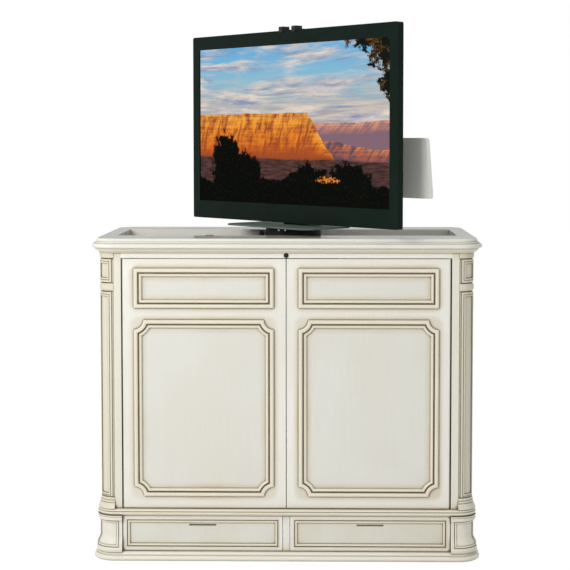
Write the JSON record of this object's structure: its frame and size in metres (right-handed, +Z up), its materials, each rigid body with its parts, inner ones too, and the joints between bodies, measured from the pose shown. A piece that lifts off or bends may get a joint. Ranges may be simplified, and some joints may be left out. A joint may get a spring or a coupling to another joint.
{
  "type": "tv lift cabinet",
  "caption": "Painted cabinet with rounded corner columns, panelled doors, low drawers and a motor lift that raises a turning television through its open top.",
  "frame": {"origin": "middle of the footprint, on the floor", "axes": "+X to the right seen from the doors, -Y is the side with the doors, +Z up"},
  "size_m": [1.454, 0.9997, 2.006],
  "materials": {
    "cream_paint": "antique white paint, satin, brown glaze in the recesses",
    "gloss_top": "antique white paint under a gloss varnish",
    "inner_wood": "clear satin lacquer",
    "bright_steel": "zinc plated",
    "black_metal": "black powder coat",
    "bezel_gloss": "piano black",
    "black_plastic": "moulded, fine texture",
    "foot_gloss": "gloss black",
    "screen_glass": "display panel, semi gloss",
    "chassis_metal": "mill finish",
    "bronze": "sintered bronze",
    "bearing_plastic": "acetal"
  },
  "bodies": {
    "cabinet": {"back_panel": "cream_paint", "base_frame": "cream_paint", "bottom_board": "inner_wood", "cable_grommet": "black_plastic", "column_front_left": "cream_paint", "column_front_right": "cream_paint", "columns_rear": "cream_paint", "control_box": "black_plastic", "cornice": "cream_paint", "crosshead": "black_metal", "deck_board": "inner_wood", "drawer_guides": "inner_wood", "drawer_partition": "cream_paint", "frieze_rail": "cream_paint", "guide_rods": "bright_steel", "hinge_pins": "bright_steel", "ir_eye": "black_plastic", "lift_base_plate": "black_metal", "lift_motor": "black_metal", "limit_switch_rail": "black_metal", "plinth_blocks": "cream_paint", "runner_channels": "bright_steel", "side_mouldings": "cream_paint", "side_panel_left": "cream_paint", "side_panel_right": "cream_paint", "stiles": "cream_paint", "top_frame": "gloss_top", "touch_latches": "black_plastic", "waist_frame": "cream_paint"},
    "door_left": {"door_left": "cream_paint", "door_left_mouldings": "cream_paint"},
    "door_right": {"door_right": "cream_paint", "door_right_mouldings": "cream_paint"},
    "drawer_left": {"drawer_left_front": "cream_paint", "drawer_left_moulding": "cream_paint", "drawer_left_box": "inner_wood", "drawer_left_slides": "bright_steel"},
    "drawer_right": {"drawer_right_front": "cream_paint", "drawer_right_moulding": "cream_paint", "drawer_right_box": "inner_wood", "drawer_right_slides": "bright_steel"},
    "carriage": {"carriage": "black_metal", "guide_bushes": "bronze", "lift_nut": "bronze", "carriage_arm": "black_metal", "turntable_base": "bright_steel", "thrust_ring": "bearing_plastic"},
    "screw": {"lead_screw": "bright_steel", "screw_coupling": "bright_steel"},
    "television": {"tv_bezel": "bezel_gloss", "tv_screen": "screen_glass", "tv_chassis": "chassis_metal", "tv_rear_shell": "black_plastic", "tv_neck": "black_plastic", "tv_foot": "foot_gloss", "safety_post": "black_metal", "rear_cover": "cream_paint", "cover_standoffs": "bright_steel", "swivel_platform": "black_metal", "spindle_nut": "bright_steel"}
  },
  "joints": [
    {"name": "door_left_hinge", "type": "hinge", "parent": "cabinet", "child": "door_left", "pos_m": [-0.601, -0.337, 0.6615], "axis": [0, 0, -1], "range_deg": [0, 95]},
    {"name": "door_right_hinge", "type": "hinge", "parent": "cabinet", "child": "door_right", "pos_m": [0.601, -0.337, 0.6615], "axis": [0, 0, 1], "range_deg": [0, 95]},
    {"name": "drawer_left_slide", "type": "slide", "parent": "cabinet", "child": "drawer_left", "axis": [0, -1, 0], "range_m": [0, 0.38]},
    {"name": "drawer_right_slide", "type": "slide", "parent": "cabinet", "child": "drawer_right", "axis": [0, -1, 0], "range_m": [0, 0.38]},
    {"name": "tv_lift", "type": "slide", "parent": "cabinet", "child": "carriage", "axis": [0, 0, 1], "range_m": [-0.015, 0]},
    {"name": "screw_spin", "type": "hinge", "parent": "cabinet", "child": "screw", "pos_m": [0.02, 0.255, 0.6], "axis": [0, 0, 1], "range_deg": [-680, 5]},
    {"name": "tv_swivel", "type": "hinge", "parent": "carriage", "child": "television", "pos_m": [0.02, 0, 1.2], "axis": [0, 0, 1], "range_deg": [-133, 227]}
  ],
  "couplings": [
    {"joint": "screw_spin", "follows": "tv_lift", "rad_per_m": 785.4}
  ]
}
